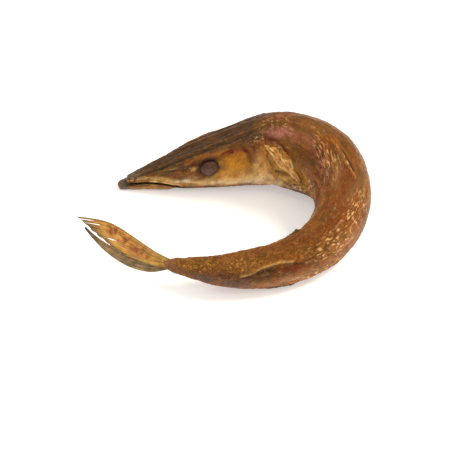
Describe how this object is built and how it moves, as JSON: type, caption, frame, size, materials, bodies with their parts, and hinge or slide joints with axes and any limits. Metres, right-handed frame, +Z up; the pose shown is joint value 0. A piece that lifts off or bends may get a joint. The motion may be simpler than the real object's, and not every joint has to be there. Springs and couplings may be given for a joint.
{
  "type": "smoked fish",
  "caption": "Whole smoked sennet, dried in a hoop with its tail curled round towards its long pointed head; prepared food that lies on its belly.",
  "frame": {"origin": "centre of the bounding box on the floor that the fish lies on", "axes": "+Z up; +X from the head and tail towards the bend of the hoop; +Y from the tail's arm of the hoop to the head's arm"},
  "size_m": [0.187, 0.1374, 0.0516],
  "materials": {
    "skin": "glossy, oily, golden to dark brown smoked skin with fine crinkles",
    "fin": "dry translucent amber fin membrane with fine rays",
    "eye": "shrunken purple-brown eye, wrinkled and slightly glossy"
  },
  "bodies": {
    "root": {"fish": "skin"}
  },
  "joints": []
}
